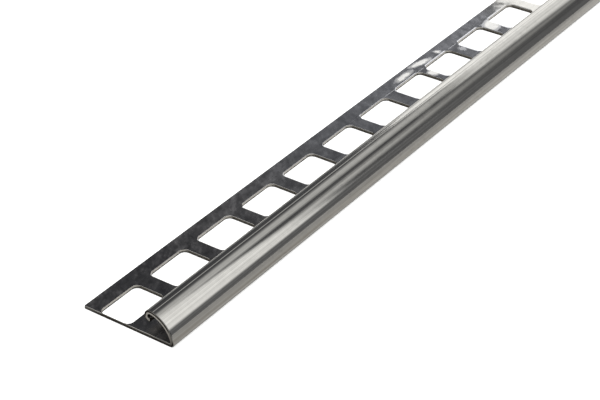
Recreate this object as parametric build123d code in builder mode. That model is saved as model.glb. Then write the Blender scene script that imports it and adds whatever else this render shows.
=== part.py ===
from build123d import *
from math import asin, cos, degrees, radians
import os

# A quarter-round tile edge trim: one strip of thin stainless sheet, roll formed along its
# whole length. A flat punched leg lies under the tiles, a quarter-round face covers their
# edge, and the face ends in a small curled lip that stiffens it.
#
# Millimetres and degrees. X runs along the strip, Y from the face to the leg's free edge,
# Z up from the underside. The origin is under the middle of the strip.

# Stock
length = 1000.0
height = 8.5
width = 29.0
sheet = 1.0

# Bend between the leg and the face
bend_inside_radius = 0.15

# Curled lip: where it leaves the face, before the crown, and how far it turns
lip_outside_radius = 1.75
lip_lead_angle = 10.0
lip_turn = 188.0

# Punched holes in the leg. Each stroke of the tool makes a row of them, and the next stroke
# follows a little closer than the holes of one stroke stand to each other.
hole_length = 14.8
hole_width = 10.0
hole_corner_radius = 1.7
holes_per_stroke = 8
bridge_width = 5.2
stroke_bridge_width = 3.0
back_rail_width = 4.7
first_hole_inset = 0.1
least_end_metal = 0.3

# The outside line is a chain of tangent arcs. The face is centred on the underside's
# plane, and its radius brings the lip's crown to the full height.
bend_radius = bend_inside_radius + sheet
lip_center_height = height - lip_outside_radius
face_radius = lip_center_height / cos(radians(lip_lead_angle)) + lip_outside_radius
bend_turn = 90 + degrees(asin(bend_radius / (face_radius - bend_radius)))
face_turn = 180 - lip_lead_angle - bend_turn

# The holes start close to the near end, and as many whole ones follow as the strip takes
near_end_x = -length / 2
free_edge_y = width / 2
hole_row_y = free_edge_y - back_rail_width - hole_width / 2
hole_centers = []
hole_start = first_hole_inset
while hole_start + hole_length + least_end_metal <= length:
    hole_centers.append((near_end_x + hole_start + hole_length / 2, hole_row_y))
    stroke_is_full = len(hole_centers) % holes_per_stroke == 0
    hole_start += hole_length + (stroke_bridge_width if stroke_is_full else bridge_width)

with BuildPart() as edge_trim:
    # Section: underside and outside of the sheet, from the leg's free edge to the lip's tip
    with BuildSketch(Plane.YZ.offset(near_end_x)) as section:
        with BuildLine() as outside:
            leg = Line((free_edge_y, 0), (bend_radius - free_edge_y, 0))
            bend = JernArc(leg @ 1, leg % 1, bend_radius, -bend_turn)
            face = JernArc(bend @ 1, bend % 1, face_radius, -face_turn)
            lip = JernArc(face @ 1, face % 1, lip_outside_radius, -lip_turn)
            offset(amount=sheet, side=Side.RIGHT)
        make_face()
    extrude(amount=length)

    # One row of rounded holes, punched through the leg
    with BuildSketch() as punch:
        with Locations(*hole_centers):
            RectangleRounded(hole_length, hole_width, hole_corner_radius)
    extrude(amount=sheet, mode=Mode.SUBTRACT)

edge_trim.part.label = "edge_trim"

os.makedirs("parts", exist_ok=True)
export_step(edge_trim.part, "parts/edge_trim.step")
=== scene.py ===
from math import asin, cos, degrees, exp, pi, radians, sin
import bpy
from mathutils import Matrix, Vector
from mathutils.geometry import delaunay_2d_cdt


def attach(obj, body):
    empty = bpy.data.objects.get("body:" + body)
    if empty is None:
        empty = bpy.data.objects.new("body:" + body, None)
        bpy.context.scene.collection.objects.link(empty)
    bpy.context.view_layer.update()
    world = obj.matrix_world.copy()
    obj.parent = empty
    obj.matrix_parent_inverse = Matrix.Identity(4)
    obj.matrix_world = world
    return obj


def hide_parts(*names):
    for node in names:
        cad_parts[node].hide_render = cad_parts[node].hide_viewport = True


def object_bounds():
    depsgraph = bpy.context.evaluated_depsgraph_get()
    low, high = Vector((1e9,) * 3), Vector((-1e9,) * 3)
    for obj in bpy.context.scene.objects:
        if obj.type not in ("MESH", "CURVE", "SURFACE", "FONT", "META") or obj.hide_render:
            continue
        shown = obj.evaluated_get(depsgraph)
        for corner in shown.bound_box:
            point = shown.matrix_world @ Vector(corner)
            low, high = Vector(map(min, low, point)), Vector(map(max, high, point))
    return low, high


# Looks of a quarter-round tile edge trim: bright stainless sheet with a punched leg, sheared
# ends and a curled lip. Sizes are in millimetres here and become metres in the mesh.

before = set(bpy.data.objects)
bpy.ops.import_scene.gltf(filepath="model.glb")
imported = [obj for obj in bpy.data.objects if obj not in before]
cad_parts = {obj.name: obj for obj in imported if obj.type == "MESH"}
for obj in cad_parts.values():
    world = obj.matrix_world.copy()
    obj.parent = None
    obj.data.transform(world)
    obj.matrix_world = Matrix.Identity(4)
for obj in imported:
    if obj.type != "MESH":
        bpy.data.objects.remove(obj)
cad_low, cad_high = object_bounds()
MM = 0.001

# Overall sizes come from the bounds of the parts in model.glb. The section's own sizes repeat the CAD
# source's.
near_x = cad_low.x / MM
far_x = cad_high.x / MM
front_y = cad_low.y / MM
free_y = cad_high.y / MM
height = cad_high.z / MM
sheet = 1.0
bend_inside_radius = 0.15
lip_radius = 1.75
lip_lead_angle = 10.0
lip_turn = 188.0
hole_length = 14.8
hole_width = 10.0
hole_corner = 1.7
holes_per_stroke = 8
bridge = 5.2
stroke_bridge = 3.0
back_rail = 4.7
first_inset = 0.1
least_end_metal = 0.3

# Slit edges along the strip, and how far the shear drew the sheet down at the cut ends: on top of
# the leg, outside on the face, and hardly at all on the burr's side
slit_fillet = 0.06
leg_shear_width = 0.12
leg_shear_depth = 0.07
rail_shear_width = 0.32
face_shear_width = 0.16
face_shear_depth = 0.06
burr_side = 0.03

# Fine rolled ridge on the face, in degrees before the crown: its place, width and steepest lean
ridge_lead = 13.8
ridge_width = 0.85
ridge_lean = 12.0

# How wide the punch drew down the upper edges: in the first stroke, in later ones and in the
# hole at the cut end. Then how deep, how much wider the holes are below, and the rail's thinning.
punch_rollover = 0.38
later_rollover = 0.75
end_rollover = 0.05
punch_drop = 0.075
punch_taper = 0.05
rail_thinning = 0.03

# Dark lower band of a cut, as a share of the thickness, and how far into the bands a punched
# hole's wall reaches at its top, where its two parts meet, and at its bottom
band_share = 0.58
face_band_share = 0.57
lip_band_share = 0.22
wall_depths = (0.0, 0.40, 0.64)

# Brightness of the light upper band: along the slit edges, and in a sheared end on the rail,
# beside the hole, in front of it, and on the face from low to high, dimmer round the lip's curl
free_edge_tone = 0.5
lip_tip_tone = 0.0
rail_tone = 0.16
hole_side_tone = 0.0
leg_front_tone = 0.12
face_tones = (0.13, 0.64)
face_tone_heights = (1.5, 5.0)
curl_dimming = 0.35
curl_share = 0.6

# The fine crease beside the holes: across it, (place, drop, lean) as shares of its half width
# and depth. It stops short of the holes' drawn edges and of the cut ends.
crease_half = 0.08
crease_depth = 0.007
crease_profile = ((-1.0, 0.0, 0.0), (-0.5, 0.5, 1.0), (0.0, 1.0, 0.0), (0.5, 0.5, -1.0), (1.0, 0.0, 0.0))
crease_hole_gap = 0.06
crease_end_gap = 0.6
least_crease = 1.0

# The leg's lean along the strip, as a slope, and its dents: place from the near end and the
# front, half sizes, turn in degrees, softness and strength
leg_lean = 0.0552
leg_dents = (((149.2, 26.3), (4.3, 1.15), 0.0, 0.5, 1.0), ((159.8, 26.7), (4.5, 1.1), -12.0, 0.5, 1.0),
             ((169.3, 26.3), (1.1, 0.9), -35.0, 0.6, 1.0), ((156.8, 20.1), (1.9, 1.9), 0.0, 0.45, 1.0),
             ((176.0, 20.6), (1.3, 1.3), 0.0, 0.7, 0.3), ((196.0, 21.2), (4.3, 2.5), 20.0, 0.4, 1.0))

# Height of a brownish line that the rollers left along the face
stain_height = 2.06

# Steps along the curves
bend_steps = 12
face_steps = 44
lip_steps = 44
ridge_steps = 28
fillet_steps = 3
rollover_steps = 5
shear_steps = 5
corner_steps = 7
ring_spacing = 10.0
first_ring = 5.0
last_ring_gap = 4.0

# Slack of the test for a point in a hole, and how close two points of the leg become one
hole_slack = 0.002
merge_distance = 1e-5

# Centres, radii and turns of the section's tangent arcs, and the lines of the leg
bend_radius = bend_inside_radius + sheet
lip_center_z = height - lip_radius
face_radius = lip_center_z / cos(radians(lip_lead_angle)) + lip_radius
bend_turn = 90 + degrees(asin(bend_radius / (face_radius - bend_radius)))
bend_center = (front_y + bend_radius, bend_radius)
tangent = radians(-90 - bend_turn)
face_center = (bend_center[0] - (face_radius - bend_radius) * cos(tangent), 0.0)
lip_start = 90 + lip_lead_angle
lip_center = (face_center[0] + (face_radius - lip_radius) * cos(radians(lip_start)), lip_center_z)
tip_angle = radians(lip_start - lip_turn)
tip_normal = (sin(tip_angle), -cos(tip_angle))
hole_back_y = free_y - back_rail
hole_front_y = hole_back_y - hole_width
crease_y = hole_back_y - 0.1

# Each hole's start, from the near end: strokes of several holes, closer together than the holes
hole_starts = []
next_start = first_inset
while next_start + hole_length + least_end_metal <= far_x - near_x:
    hole_starts.append(next_start)
    next_start += hole_length + (stroke_bridge if len(hole_starts) % holes_per_stroke == 0 else bridge)
hole_centers = [near_x + start + hole_length / 2 for start in hole_starts]
hole_center_y = (hole_back_y + hole_front_y) / 2


def leg_top(y):
    """Height of the leg's top: level, and slightly thinner outside the crease."""
    share = max(0.0, y - crease_y) / (free_y - crease_y)
    return sheet - rail_thinning * share


def leg_normal(y):
    """Normal of the leg's top, as (y, z)."""
    if y <= crease_y + 0.5 * crease_half:
        return 0.0, 1.0
    slope = rail_thinning / (free_y - crease_y)
    return unit(slope, 1.0)


def unit(a, b):
    """The same direction, with a length of 1."""
    size = (a * a + b * b) ** 0.5
    return a / size, b / size


def share_of(value, low, high):
    """How far a value is from low to high, held between 0 and 1."""
    return min(max((value - low) / (high - low), 0.0), 1.0)


def rollover_of(start):
    """How wide the punch drew down the top edge of the hole that starts there."""
    if start < 1.0:
        return end_rollover
    return punch_rollover if start < hole_starts[holes_per_stroke] - 1.0 else later_rollover


def section():
    """Stations round the sheet's section: outside from the free edge to the lip, then back inside.

    Each is (y, z, normal y, normal z, shear width, shear depth). Both lists have as many
    stations, one across from the other, so that the cut ends can be closed between them."""
    # Across the leg: the rail, both sides of the crease, the hole's straight side and the front
    leg_ys = [free_y - slit_fillet, free_y - 2.2, crease_y + crease_half, crease_y - crease_half,
              hole_back_y - 1.4, hole_front_y + 1.4, hole_front_y - 1.2, bend_center[0]]
    outside = []
    inside = []
    for step in range(fillet_steps, 0, -1):
        turn = radians(90 * step / fillet_steps)
        y = free_y - slit_fillet * (1 - sin(turn))
        drop = slit_fillet * (1 - cos(turn))
        outside.append((y, drop, sin(turn), -cos(turn)))
        inside.append((y, leg_top(y) - drop, sin(turn), cos(turn)))
    for y in leg_ys:
        outside.append((y, 0.0, 0.0, -1.0))
        inside.append((y, leg_top(y), *leg_normal(y)))
    leg_end = len(outside)

    def arc(center, radius, start, turn, steps, ridge=False):
        """Adds an arc to both lists. The ridge stands only on the outside."""
        for step in range(1, steps + 1):
            angle = radians(start - turn * step / steps)
            across = (cos(angle), sin(angle))
            inner = radius - sheet
            outer = radius
            lean = 0.0
            if ridge:
                away = (90 + ridge_lead - degrees(angle) % 360) / ridge_width
                fall = exp(-away * away / 2)
                lean = radians(-ridge_lean) * (1 - away * away) * fall
                outer += radians(ridge_lean) * radians(ridge_width) * radius * away * fall
            outside.append((center[0] + outer * across[0], center[1] + outer * across[1],
                            cos(angle - lean), sin(angle - lean)))
            inside.append((center[0] + inner * across[0], center[1] + inner * across[1],
                           -across[0], -across[1]))

    arc(bend_center, bend_radius, -90, bend_turn, bend_steps)
    bend_end = len(outside)
    face_start = degrees(tangent)
    plain_turn = face_start + 360 - 90 - ridge_lead - 4 * ridge_width
    arc(face_center, face_radius, face_start, plain_turn, face_steps)
    last_turn = face_start + 360 - lip_start - plain_turn
    arc(face_center, face_radius, face_start - plain_turn, last_turn, ridge_steps, ridge=True)
    fillet_turn = degrees(slit_fillet / lip_radius)
    arc(lip_center, lip_radius, lip_start, lip_turn - fillet_turn, lip_steps)
    ahead_y, ahead_z = tip_normal
    for path in (outside, inside):
        y, z, normal_y, normal_z = path[-1]
        for step in range(1, fillet_steps + 1):
            turn = radians(90 * step / fillet_steps)
            forward = slit_fillet * sin(turn)
            drop = slit_fillet * (1 - cos(turn))
            path.append((y + ahead_y * forward - normal_y * drop, z + ahead_z * forward - normal_z * drop,
                         normal_y * cos(turn) + ahead_y * sin(turn),
                         normal_z * cos(turn) + ahead_z * sin(turn)))

    def shear(index, is_outside):
        """Width and depth of the drawn edge at the cut ends: on top of the leg, outside on the face."""
        share = share_of(index, leg_end, bend_end)
        if is_outside:
            return (burr_side + (face_shear_width - burr_side) * share,
                    burr_side + (face_shear_depth - burr_side) * share)
        y = inside[index][0]
        width = leg_shear_width
        if y > crease_y - 2 * crease_half:
            width = rail_shear_width
        elif abs(y - hole_center_y) < hole_width / 2 - 1:
            width = burr_side
        return (width + (burr_side - width) * share,
                leg_shear_depth + (burr_side - leg_shear_depth) * share)

    outside = [(*point, *shear(index, True)) for index, point in enumerate(outside)]
    inside = [(*point, *shear(index, False)) for index, point in enumerate(inside)]
    return outside, inside, leg_end


class SheetMesh:
    """Collects vertices, faces, corner normals and, for cut faces, how deep and bright the cut is."""

    def __init__(self):
        self.points = []
        self.faces = []
        self.normals = []
        self.slots = []
        self.depths = []
        self.tones = []

    def point(self, x, y, z):
        self.points.append((x * MM, y * MM, z * MM))
        return len(self.points) - 1

    def face(self, corners, normals, slot=0, depths=None, tones=None):
        """Adds a face, turned so that it faces the way its normals point."""
        a, b, c = (Vector(self.points[i]) for i in corners[:3])
        if len(corners) == 4:
            way = (c - a).cross(Vector(self.points[corners[3]]) - b)
        else:
            way = (b - a).cross(c - a)
        mean = sum((Vector(n) for n in normals), Vector())
        depths = depths or [0.0] * len(corners)
        tones = tones or [0.5] * len(corners)
        if way.dot(mean) < 0:
            corners, normals, depths, tones = corners[::-1], normals[::-1], depths[::-1], tones[::-1]
        self.faces.append(corners)
        self.normals.extend(normals)
        self.slots.append(slot)
        self.depths.extend(depths)
        self.tones.extend(tones)

    def build(self, name, materials):
        """Makes the piece, from those vertices that its faces use."""
        used = sorted({key for corners in self.faces for key in corners})
        number = {key: place for place, key in enumerate(used)}
        mesh = bpy.data.meshes.new(name)
        mesh.from_pydata([self.points[key] for key in used], [],
                         [[number[key] for key in corners] for corners in self.faces])
        for polygon, slot in zip(mesh.polygons, self.slots):
            polygon.material_index = slot
            polygon.use_smooth = True
        for label, values in (("cut_depth", self.depths), ("cut_tone", self.tones)):
            layer = mesh.attributes.new(label, "FLOAT", "CORNER")
            layer.data.foreach_set("value", values)
        for material in materials:
            mesh.materials.append(material)
        mesh.normals_split_custom_set([tuple(Vector(n).normalized()) for n in self.normals])
        piece = bpy.data.objects.new(name, mesh)
        bpy.context.scene.collection.objects.link(piece)
        return piece


def hole_outline(center_x, grow):
    """A rounded hole's outline, grown by so much, as (x, y, outward x, outward y)."""
    half_x = hole_length / 2 - hole_corner
    half_y = hole_width / 2 - hole_corner
    outline = []
    for quarter, (side_x, side_y) in enumerate(((1, 1), (-1, 1), (-1, -1), (1, -1))):
        for step in range(corner_steps + 1):
            angle = radians(90 * (quarter + step / corner_steps))
            away = (cos(angle), sin(angle))
            reach = hole_corner + grow
            outline.append((center_x + side_x * half_x + reach * away[0],
                            hole_center_y + side_y * half_y + reach * away[1], *away))
    return outline


def ring_stations():
    """Rings across the strip, as (place along it, way into the sheet, turn of the drawn edge).

    They run from the sheared near end, over the plain run, whose way is 0, to the far end."""
    turns = [radians(90 * (1 - step / shear_steps)) for step in range(shear_steps + 1)]
    stations = [(near_x, 1, turn) for turn in turns]
    x = near_x + first_ring
    while x < far_x - last_ring_gap:
        stations.append((x, 0, 0.0))
        x += ring_spacing
    return stations + [(far_x, -1, turn) for turn in reversed(turns)]


def on_ring(station, point):
    """Position and normal of a section point on a ring."""
    x, way, turn = station
    y, z, normal_y, normal_z, width, depth = point
    if way == 0:
        return (x, y, z), (0.0, normal_y, normal_z)
    drop = depth * (1 - cos(turn))
    where = (x + way * width * (1 - sin(turn)), y - normal_y * drop, z - normal_z * drop)
    lean = Vector((-way * sin(turn) / width, normal_y * cos(turn) / depth, normal_z * cos(turn) / depth))
    return where, tuple(lean.normalized())


class StripBuilder:
    """Builds the strip's mesh: rolled surfaces, slit edges, sheared ends and the punched leg."""

    def __init__(self):
        self.body = SheetMesh()
        outside, self.inside, self.leg_end = section()
        self.count = len(outside)
        self.stations = ring_stations()
        self.outer = self.grid(outside)
        self.inner = self.grid(self.inside)
        self.leg_a = fillet_steps
        self.leg_b = self.leg_end - 1
        self.first_run = shear_steps
        self.last_run = len(self.stations) - 1 - shear_steps

    def grid(self, path):
        """One row of (vertex, normal) for each ring, for the outside or the inside."""
        rows = []
        for station in self.stations:
            row = []
            for point in path:
                where, normal = on_ring(station, point)
                row.append((self.body.point(*where), normal))
            rows.append(row)
        return rows

    def rolled_surfaces(self):
        """Outside and inside, apart from the leg's flat, which is filled round the holes."""
        for grid in (self.outer, self.inner):
            for ring in range(len(self.stations) - 1):
                for index in range(self.count - 1):
                    on_leg = self.leg_a <= index < self.leg_b
                    if on_leg and self.first_run <= ring < self.last_run:
                        continue
                    corners = [grid[ring][index], grid[ring + 1][index],
                               grid[ring + 1][index + 1], grid[ring][index + 1]]
                    self.body.face([c[0] for c in corners], [c[1] for c in corners])

    def share_at(self, index):
        """Share of the thickness, from the outside, that the dark band takes."""
        if index > self.count - lip_steps // 2:
            return lip_band_share
        return face_band_share if index >= self.leg_end + bend_steps else band_share

    def tone_at(self, index):
        """How bright the light band of a sheared end is, by place on the section."""
        y, z = self.inside[index][:2]
        if index >= self.leg_end:
            low, high = face_tones
            curl_start = self.count - lip_steps
            curl = share_of(index, curl_start, curl_start + curl_share * lip_steps)
            return (low + (high - low) * share_of(z, *face_tone_heights)) * (1 - curl_dimming * curl)
        if y > hole_back_y - 1:
            return rail_tone
        return hole_side_tone if y > hole_front_y + 1 else leg_front_tone

    def band_point(self, ring, index):
        """A new vertex inside the thickness, where the two bands of a cut meet."""
        low = Vector(self.body.points[self.outer[ring][index][0]])
        high = Vector(self.body.points[self.inner[ring][index][0]])
        return self.body.point(*(low.lerp(high, self.share_at(index)) / MM))

    def close_cut(self, columns, line, normal, tones):
        """Closes a cut in two bands. A column is an outside vertex and the inside one across from it."""
        for k in range(len(line) - 1):
            for side, depth in ((0, 1.0), (1, 0.0)):
                corners = [columns[k][side], columns[k + 1][side], line[k + 1], line[k]]
                self.body.face(corners, [normal] * 4, 1, [depth, depth, 0.5, 0.5],
                               [tones[k], tones[k + 1], tones[k + 1], tones[k]])

    def slit_edge(self, index, normal, tone):
        """An edge along the strip: the leg's free edge or the lip's tip."""
        rings = range(len(self.stations))
        line = [self.band_point(ring, index) for ring in rings]
        columns = [(self.outer[ring][index][0], self.inner[ring][index][0]) for ring in rings]
        self.close_cut(columns, line, normal, [tone] * len(line))
        return line

    def sheared_end(self, ring, way, free_line, tip_line):
        """A cut end, closed between the outside and the inside."""
        line = [self.band_point(ring, index) for index in range(1, self.count - 1)]
        line = [free_line[ring], *line, tip_line[ring]]
        columns = [(outer[0], inner[0]) for outer, inner in zip(self.outer[ring], self.inner[ring])]
        tones = [self.tone_at(index) for index in range(self.count)]
        self.close_cut(columns, line, (way, 0.0, 0.0), tones)

    def hole_loop(self, center_x, grow, height_at):
        """A hole's outline as vertices, each with the way out of the hole."""
        return [(self.body.point(x, y, height_at(y)), away_x, away_y)
                for x, y, away_x, away_y in hole_outline(center_x, grow)]

    def punched_hole(self, start, center_x):
        """A hole's drawn upper edge and its wall in two parts. Returns its top and bottom loops."""
        rollover = rollover_of(start)
        bands = []
        for step in range(rollover_steps + 1):
            turn = radians(90 * step / rollover_steps)
            drop = punch_drop * (1 - cos(turn))
            loop = self.hole_loop(center_x, rollover * (1 - sin(turn)), lambda y: leg_top(y) - drop)
            bands.append((loop, turn))
        wall = bands[-1][0]
        middle = self.hole_loop(center_x, 0.0, lambda y: sheet * band_share)
        bottom = self.hole_loop(center_x, punch_taper, lambda y: 0.0)
        parts = ((wall, middle, *wall_depths[:2]), (middle, bottom, *wall_depths[1:]))
        for k in range(len(wall)):
            following = (k + 1) % len(wall)
            for (upper, turn_a), (lower, turn_b) in zip(bands, bands[1:]):
                corners = [upper[k], upper[following], lower[following], lower[k]]
                turns = [turn_a, turn_a, turn_b, turn_b]
                normals = [(-c[1] * sin(t) / rollover, -c[2] * sin(t) / rollover, cos(t) / punch_drop)
                           for c, t in zip(corners, turns)]
                self.body.face([c[0] for c in corners], normals)
            # Each wall's light band is a painted reflection: brighter on the walls at the back of the
            # hole, which face the front of the strip
            for upper, lower, high, low in parts:
                corners = [upper[k], upper[following], lower[following], lower[k]]
                self.body.face([c[0] for c in corners], [(-c[1], -c[2], 0.0) for c in corners], 1,
                               [high, high, low, low], [max(c[2], 0.0) for c in corners])
        return bands[0][0], bottom

    def creases(self):
        """The crease's lines between the holes, as pairs of vertices, and those vertices' normals."""
        lines = []
        normals = {}
        lefts = [near_x] + [near_x + start + hole_length for start in hole_starts]
        rights = [near_x + start for start in hole_starts] + [far_x]
        for left, right in zip(lefts, rights):
            rollovers = [rollover_of(edge - near_x) for edge in (left - hole_length, right)]
            for across, drop, lean in crease_profile:
                y = crease_y + across * crease_half
                z = leg_top(y) - crease_depth * drop
                rise = y - (hole_back_y - hole_corner)
                reach = [hole_corner - crease_hole_gap - ((hole_corner + width) ** 2 - rise * rise) ** 0.5
                         for width in rollovers]
                start_x = max(left - reach[0], near_x + crease_end_gap)
                end_x = min(right + reach[1], far_x - crease_end_gap)
                if end_x - start_x < least_crease:
                    continue
                line = [self.body.point(x, y, z) for x in (start_x, end_x)]
                lines.append(line)
                for key in line:
                    normals[key] = (0.0, *unit(lean * crease_depth / crease_half, 1.0))
        return lines, normals

    def leg_flat(self, grid, loops, is_top):
        """The leg's flat top or underside, filled between its border, the holes and the crease."""
        border = [grid[self.first_run][i][0] for i in range(self.leg_a, self.leg_b + 1)]
        border += [grid[r][self.leg_b][0] for r in range(self.first_run + 1, self.last_run + 1)]
        border += [grid[self.last_run][i][0] for i in range(self.leg_b - 1, self.leg_a - 1, -1)]
        border += [grid[r][self.leg_a][0] for r in range(self.last_run - 1, self.first_run, -1)]
        keys = []
        edges = []
        for ring in [border] + [[c[0] for c in loop] for loop in loops]:
            start = len(keys)
            keys += ring
            edges += [(start + i, start + (i + 1) % len(ring)) for i in range(len(ring))]
        lines, crease_normals = self.creases() if is_top else ([], {})
        for line in lines:
            edges.append((len(keys), len(keys) + 1))
            keys += line

        def normal_at(key):
            if not is_top:
                return 0.0, 0.0, -1.0
            return crease_normals.get(key) or (0.0, *leg_normal(self.body.points[key][1] / MM))

        flat_points = [Vector(self.body.points[key][:2]) / MM for key in keys]
        points, _, faces, origins, _, _ = delaunay_2d_cdt(flat_points, edges, [], 0, merge_distance)
        for triangle in faces:
            if in_hole(sum((points[i] for i in triangle), Vector((0.0, 0.0))) / 3):
                continue
            corners = [keys[origins[i][0]] for i in triangle]
            self.body.face(corners, [normal_at(key) for key in corners])


def in_hole(point):
    """Whether a point of the leg lies inside a hole."""
    center_x = min(hole_centers, key=lambda x: abs(point.x - x))
    over_x = max(abs(point.x - center_x) - (hole_length / 2 - hole_corner), 0.0)
    over_y = max(abs(point.y - hole_center_y) - (hole_width / 2 - hole_corner), 0.0)
    return (over_x * over_x + over_y * over_y) ** 0.5 < hole_corner - hole_slack


def build_sheet(materials):
    """The whole strip as one piece."""
    strip = StripBuilder()
    strip.rolled_surfaces()
    free_line = strip.slit_edge(0, (0.0, 1.0, 0.0), free_edge_tone)
    tip_line = strip.slit_edge(strip.count - 1, (0.0, *tip_normal), lip_tip_tone)
    for ring, way in ((0, -1.0), (len(strip.stations) - 1, 1.0)):
        strip.sheared_end(ring, way, free_line, tip_line)
    loops = [strip.punched_hole(start, center_x) for start, center_x in zip(hole_starts, hole_centers)]
    strip.leg_flat(strip.outer, [bottom for top, bottom in loops], False)
    strip.leg_flat(strip.inner, [top for top, bottom in loops], True)
    return strip.body.build("edge_trim_sheet", materials)


class Nodes:
    """Short calls for a node tree."""

    def __init__(self, tree):
        self.tree = tree
        tree.nodes.clear()

    def add(self, kind, **settings):
        node = self.tree.nodes.new(kind)
        for key, value in settings.items():
            setattr(node, key, value)
        return node

    def feed(self, socket, value):
        if isinstance(value, bpy.types.NodeSocket):
            self.tree.links.new(value, socket)
        else:
            socket.default_value = value

    def math(self, operation, a, b=0.0):
        node = self.add("ShaderNodeMath", operation=operation)
        self.feed(node.inputs[0], a)
        self.feed(node.inputs[1], b)
        return node.outputs[0]

    def times(self, value, *others):
        for other in others:
            value = self.math("MULTIPLY", value, other)
        return value

    def plus(self, a, b):
        return self.math("ADD", a, b)

    def inverse(self, value):
        """1 less the value."""
        return self.math("SUBTRACT", 1.0, value)

    def split(self, vector):
        node = self.add("ShaderNodeSeparateXYZ")
        self.feed(node.inputs[0], vector)
        return tuple(node.outputs)

    def ramp(self, value, low, high, out_low=0.0, out_high=1.0, smooth=True):
        node = self.add("ShaderNodeMapRange", interpolation_type="SMOOTHSTEP" if smooth else "LINEAR")
        for socket, item in zip(node.inputs[:5], (value, low, high, out_low, out_high)):
            self.feed(socket, item)
        return node.outputs[0]

    def span(self, value, low, high, out_low=0.0, out_high=1.0, smooth=True):
        """A ramp over a length whose ends are in millimetres."""
        return self.ramp(value, low * MM, high * MM, out_low, out_high, smooth)

    def mix(self, factor, a, b, blend="MIX"):
        node = self.add("ShaderNodeMix", data_type="RGBA", blend_type=blend)
        self.feed(node.inputs[0], factor)
        self.feed(node.inputs[6], a)
        self.feed(node.inputs[7], b)
        return node.outputs[2]

    def noise(self, vector, scale, detail=2.0, roughness=0.5, distortion=0.0):
        node = self.add("ShaderNodeTexNoise")
        self.feed(node.inputs["Vector"], vector)
        node.inputs["Scale"].default_value = scale
        node.inputs["Detail"].default_value = detail
        node.inputs["Roughness"].default_value = roughness
        node.inputs["Distortion"].default_value = distortion
        return node.outputs["Fac"]

    def stretched(self, vector, scale, offset=(0.0, 0.0, 0.0), turn=0.0):
        if turn:
            turned = self.add("ShaderNodeVectorRotate", rotation_type="Z_AXIS")
            self.feed(turned.inputs["Vector"], vector)
            turned.inputs["Angle"].default_value = radians(turn)
            vector = turned.outputs[0]
        node = self.add("ShaderNodeMapping")
        self.feed(node.inputs["Vector"], vector)
        node.inputs["Scale"].default_value = scale
        node.inputs["Location"].default_value = offset
        return node.outputs[0]

    def spot(self, place, center, reach, turn=0.0, soft=0.3):
        """1 inside an oval on the leg's plane, 0 outside. Sizes are in millimetres."""
        away = self.add("ShaderNodeMapping", vector_type="TEXTURE")
        self.feed(away.inputs["Vector"], place)
        away.inputs["Location"].default_value = (center[0] * MM, center[1] * MM, sheet * MM)
        away.inputs["Rotation"].default_value = (0.0, 0.0, radians(turn))
        away.inputs["Scale"].default_value = (reach[0] * MM, reach[1] * MM, 1.0)
        size = self.add("ShaderNodeVectorMath", operation="LENGTH")
        self.feed(size.inputs[0], away.outputs[0])
        return self.ramp(size.outputs["Value"], 1 - soft, 1 + soft, 1.0, 0.0)

    def bump(self, height_value, distance, normal=None, strength=1.0):
        """A bump whose full height is given in millimetres."""
        node = self.add("ShaderNodeBump")
        node.inputs["Strength"].default_value = strength
        node.inputs["Distance"].default_value = distance * MM
        self.feed(node.inputs["Height"], height_value)
        if normal is not None:
            self.feed(node.inputs["Normal"], normal)
        return node.outputs[0]

    def by_camera(self, others, camera):
        """One shader for rays from the camera and another for all other rays."""
        chosen = self.add("ShaderNodeMixShader")
        self.feed(chosen.inputs[0], self.add("ShaderNodeLightPath").outputs["Is Camera Ray"])
        self.feed(chosen.inputs[1], others.outputs[0])
        self.feed(chosen.inputs[2], camera.outputs[0])
        return chosen

    def output(self, kind, shader):
        """The tree's output, which shows the shader."""
        out = self.add(kind)
        self.feed(out.inputs["Surface"], shader.outputs[0])


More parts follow.
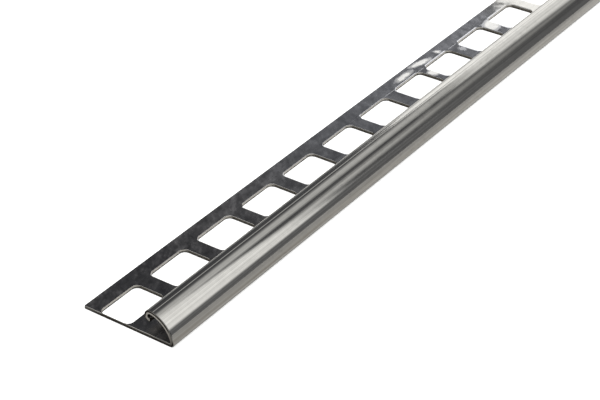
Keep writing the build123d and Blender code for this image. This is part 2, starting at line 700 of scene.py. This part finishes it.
class SheetMarks:
    """Where a shaded point lies on the strip, and the marks that the sheet has there."""

    def __init__(self, n):
        place = n.add("ShaderNodeTexCoord").outputs["Object"]
        self.place = place
        self.x, self.y, self.z = n.split(place)
        self.facing = n.add("ShaderNodeNewGeometry").outputs["Normal"]
        _, self.backward, self.upward = n.split(self.facing)
        self.on_leg = n.span(self.z, sheet, sheet + 0.15, 1.0, 0.0)
        self.leg_top = n.times(self.on_leg, n.ramp(self.upward, 0.6, 0.95))
        self.dents = dented(n, place)

        # Rolling lines and bands, rub marks across them, smudges and slow waves
        self.lines = n.noise(n.stretched(place, (7.0, 3200.0, 3200.0)), 1.0, 3.0, 0.65)
        self.bands = n.noise(n.stretched(place, (4.0, 1300.0, 1300.0), (3.0, 1.0, 2.0)), 1.0, 2.0)
        rubs = n.noise(n.stretched(place, (500.0, 1500.0, 1500.0), (0.3, 0.1, 0.7)), 1.0, 4.0, 0.7)
        rubbed = n.noise(n.stretched(place, (0.5, 1.0, 1.0)), 60.0, 1.0)
        self.worn = n.times(n.ramp(rubs, 0.5, 0.72), n.ramp(rubbed, 0.45, 0.65))
        self.smudge = n.noise(n.stretched(place, (0.6, 1.0, 1.0), (0.5, 0.2, 0.1)), 75.0, 3.0, 0.6)
        self.wave = n.noise(n.stretched(place, (0.8, 1.2, 1.2), (0.2, 0.4, 0.0)), 110.0, 2.0, 0.45)

        # Mottling of the leg, with clouds and wisps that lie aslant
        self.mottle = n.noise(place, 330.0, 4.0, 0.65)
        aslant = n.stretched(place, (0.45, 1.0, 1.0), (0.1, 0.6, 0.2), -38.0)
        self.clouds = n.noise(aslant, 330.0, 4.0, 0.6, 0.5)
        aslant = n.stretched(place, (0.55, 1.0, 1.0), (0.7, 0.2, 0.5), -38.0)
        self.wisps = n.noise(aslant, 640.0, 4.0, 0.65, 0.4)

        # The leg near the cut end, a brownish spot there, surfaces that face the hollow, and its inside
        self.near_leg = n.times(n.span(self.x, near_x + 60, near_x + 130, 1.0, 0.0), self.leg_top)
        brown = n.spot(place, (near_x + 2.5, front_y + 7.6), (4.0, 1.5), 0.0, 0.6)
        self.brown = n.times(brown, self.leg_top)
        self.inward = n.math("MAXIMUM", self.leg_top, n.ramp(self.backward, 0.1, 0.3))
        self.hollow = n.times(n.span(self.z, sheet + 0.5, sheet + 1.5), n.ramp(self.upward, 0.0, -0.3),
                              n.span(self.y, front_y + 4.0, front_y + 7.0))


def sheet_haze(n, at):
    """How dull the metal is: clouds and smears on the leg, and the inside of the hollow."""
    haze = n.times(at.leg_top, n.span(at.x, near_x + 30, near_x + 195, 0.014, 0.112, False),
                   n.ramp(at.clouds, 0.3, 0.7, 0.62, 1.38), n.ramp(at.mottle, 0.35, 0.65, 0.8, 1.2),
                   n.span(at.y, hole_back_y - 1.0, hole_back_y + 1.0, 0.86, 1.04))
    smears = n.times(n.ramp(at.clouds, 0.40, 0.66, 0.1, 1.0), n.ramp(at.wisps, 0.42, 0.66), 0.046)
    patch = n.times(n.spot(at.place, (near_x + 58, front_y + 26.6), (15.0, 3.2), 0.0, 0.6), 0.010)
    haze = n.plus(haze, n.times(n.plus(smears, patch), at.near_leg))
    haze = n.plus(haze, n.times(at.hollow, 0.35))
    return n.plus(haze, n.times(at.brown, n.ramp(at.wisps, 0.3, 0.6, 0.4, 1.0), 0.05))


def sheet_tone(n, at):
    """Share of the metal's brightness: streaks and wear, painted shade in the corner of the hollow, and a
    painted dark reflection high on the face at the sheared ends.
    """
    streaked = n.times(n.ramp(at.lines, 0.35, 0.65, 0.86, 1.02), n.ramp(at.bands, 0.35, 0.65, 0.86, 1.0))
    streaked = n.mix(n.times(at.leg_top, 0.6), streaked, (0.93, 0.93, 0.93, 1.0))
    bare = n.times(at.near_leg, n.ramp(at.wisps, 0.34, 0.5, 0.22, 0.0))
    # Painted shade: surfaces that face the hollow are darkened in its corner by the bend
    nook_shade = n.times(at.inward, n.span(at.y, front_y + 5.4, front_y + 8.6, 1.0, 0.0))
    # Painted dark reflection: the face is darkened within 0.16 mm of both cut ends, high up, where its
    # edge is rolled over
    sheared = n.times(n.span(n.math("ABSOLUTE", at.x), far_x - 0.32, far_x - 0.16), n.span(at.z, 2.6, 3.8))
    return n.times(n.ramp(at.mottle, 0.3, 0.7, 0.94, 1.0), streaked, n.inverse(bare),
                   n.ramp(at.worn, 0.0, 1.0, 1.0, 0.84, False), n.ramp(nook_shade, 0.0, 1.0, 1.0, 0.3, False),
                   n.ramp(sheared, 0.0, 1.0, 1.0, 0.3, False))


def sheet_metal(n, at):
    """Colour of the metal: a brownish line and tracks low on the face, and on the leg top a painted
    reflection tint, neutral near the cut end and blue further on.
    """
    from_line = n.math("ABSOLUTE", n.math("SUBTRACT", at.z, stain_height * MM))
    stain = n.noise(n.stretched(at.place, (12.0, 60.0, 900.0), (0.2, 0.0, 0.4)), 1.0, 3.0)
    stained = n.times(n.span(from_line, 0.0, 0.42, 1.0, 0.0), n.ramp(stain, 0.25, 0.6), 0.75)
    metal = n.mix(stained, (0.72, 0.715, 0.70, 1.0), (0.47, 0.45, 0.415, 1.0))
    tracks = n.noise(n.stretched(at.place, (14.0, 700.0, 1900.0), (0.4, 0.9, 0.3)), 1.0, 3.0, 0.6)
    tracks = n.times(n.ramp(tracks, 0.42, 0.66), n.span(at.z, 0.9, 1.4), n.span(at.z, 2.6, 3.3, 1.0, 0.0),
                     n.span(at.x, near_x + 60, near_x + 170, 0.8, 0.35))
    metal = n.mix(tracks, metal, (0.45, 0.43, 0.395, 1.0))
    # Painted reflection tint: the leg top takes the hue of what it mirrors, neutral near the cut end, then
    # blue up to where it mirrors the warm panel beyond the far end
    metal = n.mix(at.near_leg, metal, (0.722, 0.702, 0.708, 1.0))
    metal = n.mix(at.brown, metal, (0.74, 0.69, 0.64, 1.0))
    blue_reflection_tint = n.times(at.leg_top, n.ramp(at.dents, 0.0, 1.0, 1.0, 0.3),
                     n.span(at.x, near_x + 40, near_x + 120, 0.08, 1.0),
                     n.span(at.x, near_x + 198, near_x + 214, 1.0, 0.0))
    return n.mix(blue_reflection_tint, metal, (0.70, 0.712, 0.765, 1.0))


def sheet_roughness(n, at):
    """Fine polish, duller round the dents, in the hollow and on the drawn edges of the holes."""
    rough = n.times(n.ramp(at.smudge, 0.45, 0.75, 0.055, 0.095),
                    n.ramp(at.leg_top, 0.0, 1.0, 1.0, 0.4, False))
    rough = n.plus(rough, n.ramp(at.lines, 0.4, 0.8, 0.0, 0.02))
    rough = n.plus(rough, n.times(n.ramp(at.clouds, 0.45, 0.7, 0.0, 0.03), at.leg_top))
    dent_rims = n.times(at.dents, n.inverse(at.dents), at.leg_top)
    dim = n.times(at.inward, n.span(at.y, front_y + 4.0, front_y + 8.0, 1.0, 0.0))
    drawn = n.times(n.span(at.z, sheet - 0.2, sheet - 0.14), n.ramp(at.upward, 0.9985, 0.988), at.on_leg,
                    n.ramp(at.upward, 0.0, 0.2), n.ramp(at.backward, 0.0, -0.03))
    for mask, added in ((dent_rims, 0.9), (n.math("MAXIMUM", dim, at.hollow), 0.4), (drawn, 0.26)):
        rough = n.plus(rough, n.times(mask, added))
    return rough


def sheet_normal(n, at):
    """Slow waves, rolling bands and rolling lines, over the leaning top of the leg."""
    wave = n.times(at.wave, n.ramp(at.on_leg, 0.0, 1.0, 0.12, 0.35, False))
    flat = n.times(at.leg_top, n.ramp(at.upward, 0.9992, 0.9999))
    fine = n.ramp(at.leg_top, 0.0, 1.0, 1.0, 0.4, False)
    normal = n.bump(wave, 0.09, leaning(n, at.facing, flat, at.dents))
    normal = n.bump(n.times(at.bands, fine), 0.0025, normal)
    return n.bump(n.times(at.lines, fine), 0.0005, normal)


def polished_sheet():
    """Bright sheet with fine polishing lines along the strip, smudges and slight waviness."""
    material = bpy.data.materials.new("stainless_sheet")
    material.use_nodes = True
    n = Nodes(material.node_tree)
    at = SheetMarks(n)
    shader = n.add("ShaderNodeBsdfPrincipled")
    n.feed(shader.inputs["Base Color"], n.mix(1.0, sheet_metal(n, at), sheet_tone(n, at), "MULTIPLY"))
    n.feed(shader.inputs["Metallic"], n.inverse(sheet_haze(n, at)))
    n.feed(shader.inputs["Roughness"], sheet_roughness(n, at))
    n.feed(shader.inputs["Normal"], sheet_normal(n, at))
    n.output("ShaderNodeOutputMaterial", shader)
    return material


def dented(n, place):
    """Up to 1 in the leg's dents, whose outlines wander by up to 1.5 mm along and 0.75 mm across."""
    wander = Vector((0.0015, 0.00075, 0.0))
    shift = n.add("ShaderNodeVectorMath", operation="MULTIPLY_ADD")
    blur = n.add("ShaderNodeTexNoise")
    n.feed(blur.inputs["Vector"], place)
    blur.inputs["Scale"].default_value = 420.0
    n.feed(shift.inputs[0], blur.outputs["Color"])
    shift.inputs[1].default_value = wander * 2
    n.feed(shift.inputs[2], place)
    loose = n.add("ShaderNodeVectorMath", operation="SUBTRACT")
    n.feed(loose.inputs[0], shift.outputs[0])
    loose.inputs[1].default_value = wander
    level = None
    for center, reach, turn, soft, strength in leg_dents:
        where = (near_x + center[0], front_y + center[1])
        spot = n.math("MULTIPLY", n.spot(loose.outputs[0], where, reach, turn, soft), strength)
        level = spot if level is None else n.math("MAXIMUM", level, spot)
    return level


def leaning(n, facing, flat, level):
    """The leg's top leans a little along the strip, but for a few dents where it lies level."""
    lean = n.math("MULTIPLY", flat, n.ramp(level, 0.0, 1.0, -leg_lean, 0.0, False))
    tilt = n.add("ShaderNodeCombineXYZ")
    n.feed(tilt.inputs[0], lean)
    leaned = n.add("ShaderNodeVectorMath", operation="ADD")
    n.feed(leaned.inputs[0], facing)
    n.feed(leaned.inputs[1], tilt.outputs[0])
    whole = n.add("ShaderNodeVectorMath", operation="NORMALIZE")
    n.feed(whole.inputs[0], leaned.outputs[0])
    return whole.outputs[0]


def cut_edge():
    """Sheared and punched edges: a light band above and a ragged dark band below."""
    material = bpy.data.materials.new("stainless_cut_edge")
    material.use_nodes = True
    n = Nodes(material.node_tree)
    place = n.add("ShaderNodeTexCoord").outputs["Object"]
    x, y, z = n.split(place)
    depth = n.add("ShaderNodeAttribute", attribute_name="cut_depth").outputs["Fac"]
    tone = n.add("ShaderNodeAttribute", attribute_name="cut_tone").outputs["Fac"]
    ragged = n.noise(place, 1500.0, 3.0, 0.6)
    grain = n.noise(place, 6000.0, 3.0, 0.6)
    dark = n.ramp(n.plus(depth, n.ramp(ragged, 0.3, 0.7, -0.08, 0.08, False)), 0.44, 0.56)

    # Light band, by the cut's tone, a little darker at the cut end of the leg
    bright = n.mix(grain, (0.74, 0.72, 0.68, 1.0), (1.0, 0.985, 0.95, 1.0))
    dull = n.mix(grain, (0.10, 0.093, 0.08, 1.0), (0.22, 0.205, 0.18, 1.0))
    light_band = n.mix(tone, dull, bright)
    at_end = n.times(n.span(n.math("ABSOLUTE", x), far_x - 0.09, far_x - 0.06),
                     n.span(z, sheet + 0.1, sheet + 0.5, 1.0, 0.0))
    light_band = n.mix(at_end, light_band, n.mix(1.0, light_band, (0.7, 0.7, 0.7, 1.0), "MULTIPLY"))

    # Dark band, less dark on the back rail and low on the face
    dark_band = n.mix(grain, (0.018, 0.016, 0.014, 1.0), (0.05, 0.045, 0.04, 1.0))
    on_rail = n.span(y, hole_back_y + 0.5, free_y - 0.5)
    dark_band = n.mix(on_rail, dark_band, n.mix(grain, (0.10, 0.10, 0.10, 1.0), (0.22, 0.22, 0.22, 1.0)))
    low_face = n.times(n.span(z, 1.2, 2.2), n.span(z, 4.0, 5.2, 1.0, 0.0))
    dark_band = n.mix(low_face, dark_band, n.mix(grain, (0.14, 0.135, 0.13, 1.0), (0.3, 0.29, 0.28, 1.0)))

    shader = n.add("ShaderNodeBsdfPrincipled")
    n.feed(shader.inputs["Base Color"], n.mix(dark, light_band, dark_band))
    shader.inputs["Metallic"].default_value = 1.0
    n.feed(shader.inputs["Roughness"], n.ramp(dark, 0.0, 1.0, 0.5, 0.35, False))
    n.feed(shader.inputs["Normal"], n.bump(grain, 0.02, strength=0.6))
    n.output("ShaderNodeOutputMaterial", shader)
    return material


def build_floor():
    """A pale floor that the camera sees as white, with the object's soft shadow on it."""
    size = 30.0
    mesh = bpy.data.meshes.new("studio_floor")
    mesh.from_pydata([(-size, -size, 0.0), (size, -size, 0.0), (size, size, 0.0), (-size, size, 0.0)],
                     [], [(0, 1, 2, 3)])
    floor_object = bpy.data.objects.new("studio_floor", mesh)
    floor_object.location.z = -0.02 * MM
    bpy.context.scene.collection.objects.link(floor_object)
    material = bpy.data.materials.new("studio_floor")
    material.use_nodes = True
    n = Nodes(material.node_tree)
    x, y, _ = n.split(n.add("ShaderNodeTexCoord").outputs["Object"])

    # What the sheet mirrors: painted shade on the floor in front of the strip, darker towards the near end
    # and from the strip out to 30 mm in front of it, and the pale floor behind it
    front = n.mix(n.span(x, near_x, near_x + 300), (0.30, 0.293, 0.28, 1.0), (0.38, 0.372, 0.36, 1.0))
    front = n.mix(1.0, front, n.span(y, front_y - 30, front_y, 0.62, 1.0, False), "MULTIPLY")
    plain = n.add("ShaderNodeBsdfDiffuse")
    n.feed(plain.inputs["Color"], n.mix(n.span(y, 100, 400), front, (0.85, 0.84, 0.82, 1.0)))

    # What the camera sees: white, with the shadow
    shown = n.add("ShaderNodeBsdfDiffuse")
    shown.inputs["Color"].default_value = (0.55, 0.55, 0.55, 1.0)
    glow = n.add("ShaderNodeEmission")
    glow.inputs["Strength"].default_value = 0.55
    seen = n.add("ShaderNodeAddShader")
    n.feed(seen.inputs[0], shown.outputs[0])
    n.feed(seen.inputs[1], glow.outputs[0])
    n.output("ShaderNodeOutputMaterial", n.by_camera(plain, seen))
    mesh.materials.append(material)


def direction(azimuth, elevation):
    """Unit vector for an azimuth from +X towards +Y and an elevation, in degrees."""
    a = radians(azimuth)
    e = radians(elevation)
    return Vector((cos(e) * cos(a), cos(e) * sin(a), sin(e)))


class Studio:
    """Walls, ceiling and panels round the strip, by direction, as its metal mirrors them."""

    def __init__(self, n):
        self.n = n
        self.way = n.add("ShaderNodeTexCoord").outputs["Generated"]
        x, y, z = n.split(self.way)
        self.azimuth = n.math("MULTIPLY", n.math("ARCTAN2", y, x), 180 / pi)
        self.elevation = n.math("MULTIPLY", n.math("ARCSINE", z), 180 / pi)
        self.shade = None

    def across(self, low, high):
        """From 0 to 1 between two azimuths, in degrees."""
        return self.n.ramp(self.azimuth, low, high)

    def up(self, low, high):
        """From 0 to 1 between two elevations, in degrees."""
        return self.n.ramp(self.elevation, low, high)

    def edge(self, start, end, soft):
        """A straight edge that runs to greater azimuths has 1 above it and 0 below it.

        One that runs the other way is turned over."""
        dot = self.n.add("ShaderNodeVectorMath", operation="DOT_PRODUCT")
        self.n.feed(dot.inputs[0], self.way)
        dot.inputs[1].default_value = direction(*start).cross(direction(*end)).normalized()
        return self.n.ramp(dot.outputs["Value"], -sin(radians(soft)), sin(radians(soft)))

    def patch(self, center, radius, soft, stretch=1.0, turn=0.0):
        """A soft round patch, stretched in its own direction."""
        n = self.n
        across = n.math("SUBTRACT", self.azimuth, center[0])
        up = n.math("SUBTRACT", self.elevation, center[1])
        c = cos(radians(turn))
        s = sin(radians(turn))
        u = n.plus(n.times(across, c / stretch), n.times(up, s / stretch))
        v = n.math("SUBTRACT", n.times(up, c), n.times(across, s))
        away = n.math("SQRT", n.plus(n.times(u, u), n.times(v, v)))
        return n.ramp(away, radius - soft, radius + soft, 1.0, 0.0)

    def lay(self, level, tint, *masks):
        """Lays a light of one level over what is there, where all the masks let it."""
        colour = (level * tint[0], level * tint[1], level * tint[2], 1.0)
        self.shade = self.n.mix(self.n.times(*masks), self.shade, colour)


def build_world():
    """The studio round the strip. The camera itself sees white."""
    world = bpy.data.worlds.new("studio")
    bpy.context.scene.world = world
    world.use_nodes = True
    n = Nodes(world.node_tree)
    s = Studio(n)
    plain = (1.0, 1.0, 1.0)
    warm = (1.0, 0.99, 0.955)
    cool = (0.94, 0.98, 1.06)

    # Dark walls under a lighter ceiling, with darker and lighter parts
    s.shade = n.mix(s.up(55.0, 80.0), (0.082, 0.083, 0.085, 1.0), (0.50, 0.50, 0.49, 1.0))
    s.lay(0.036, cool, s.across(28.0, 42.0), s.up(26.0, 34.0))
    s.lay(0.22, plain, s.across(28.0, 40.0), s.up(33.0, 16.0))
    s.lay(0.55, plain, n.ramp(n.math("ABSOLUTE", s.azimuth), 70.0, 95.0), s.up(34.0, 22.0))
    s.lay(0.15, plain, s.patch((-40.0, 8.0), 17.0, 6.0), s.up(24.0, 16.0))
    s.lay(0.10, plain, s.patch((-32.0, 15.0), 4.5, 3.0))

    # A slanting panel high beyond the strip, and soft patches where the side panel fades
    s.lay(0.58, warm, s.edge((-23.0, 50.0), (-14.5, 38.0), 3.9), s.edge((4.0, 43.0), (-0.5, 52.0), 5.0),
          s.up(33.0, 38.0), s.up(75.0, 60.0))
    s.lay(0.26, warm, s.patch((-25.5, 26.5), 3.0, 3.0))
    s.lay(0.30, warm, s.patch((-30.0, 30.0), 5.5, 4.5, 1.4, 45.0))
    s.lay(0.56, warm, s.patch((-34.0, 31.5), 3.4, 3.5, 1.6, 45.0))

    # The bright side panel, which the face mirrors
    side = n.math("MAXIMUM", s.edge((-38.2, 29.0), (-24.3, 45.3), 1.2),
                  s.edge((-42.0, 19.9), (-38.2, 29.0), 1.2))
    s.lay(1.02, warm, side, s.up(12.8, 19.0), s.across(-160.0, -130.0))

    # The bright panel beyond the far end, which the far leg and the lip mirror, and its parts
    beyond = n.times(s.edge((18.5, 39.4), (-10.0, 38.5), 0.4), s.edge((34.6, 27.2), (20.6, 38.0), 0.15),
                     s.edge((41.5, 0.0), (35.0, 27.0), 4.0), s.edge((-16.0, 38.5), (-20.0, 29.0), 3.0),
                     s.across(-29.0, -22.0), s.across(60.0, 50.0))
    s.lay(0.98, warm, beyond)
    s.lay(1.30, warm, beyond, s.across(1.0, 8.0))
    s.lay(0.55, warm, beyond, s.across(27.0, 39.0), s.up(29.0, 24.0))

    background = n.add("ShaderNodeBackground")
    n.feed(background.inputs["Color"], s.shade)
    white = n.add("ShaderNodeBackground")
    white.inputs["Color"].default_value = (1.0, 1.0, 1.0, 1.0)
    n.output("ShaderNodeOutputWorld", n.by_camera(background, white))


def build_lamp():
    """A large soft lamp overhead, for the floor and the shadow. Metal doesn't mirror it."""
    data = bpy.data.lights.new("overhead", "AREA")
    data.shape = "RECTANGLE"
    data.size = 3.0
    data.size_y = 3.0
    data.energy = 75.0
    lamp = bpy.data.objects.new("overhead", data)
    lamp.location = (0.0, 0.0, 2.0)
    lamp.visible_glossy = False
    lamp.visible_camera = False
    bpy.context.scene.collection.objects.link(lamp)


def build_camera():
    """The photograph's viewpoint: its lens, its three directions and its place from the near end."""
    data = bpy.data.cameras.new("camera")
    data.sensor_width = 36.0
    data.lens = 104.88
    camera = bpy.data.objects.new("camera", data)
    right = Vector((0.57117, -0.82082, 0.00495))
    down = Vector((-0.44459, -0.31443, -0.83874))
    forward = Vector((0.69000, 0.47686, -0.54452))
    turn = Matrix((right, -down, -forward)).transposed().to_4x4()
    eye = Vector((near_x - 264.187, front_y - 220.231, 266.471)) * MM
    camera.matrix_world = Matrix.Translation(eye) @ turn
    data.clip_start = 0.01
    data.clip_end = 100.0
    bpy.context.scene.collection.objects.link(camera)
    bpy.context.scene.camera = camera


sheet_piece = build_sheet([polished_sheet(), cut_edge()])
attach(sheet_piece, "root")
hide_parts("edge_trim")

build_floor()
build_world()
build_lamp()
build_camera()
bpy.context.scene.view_settings.view_transform = "Standard"
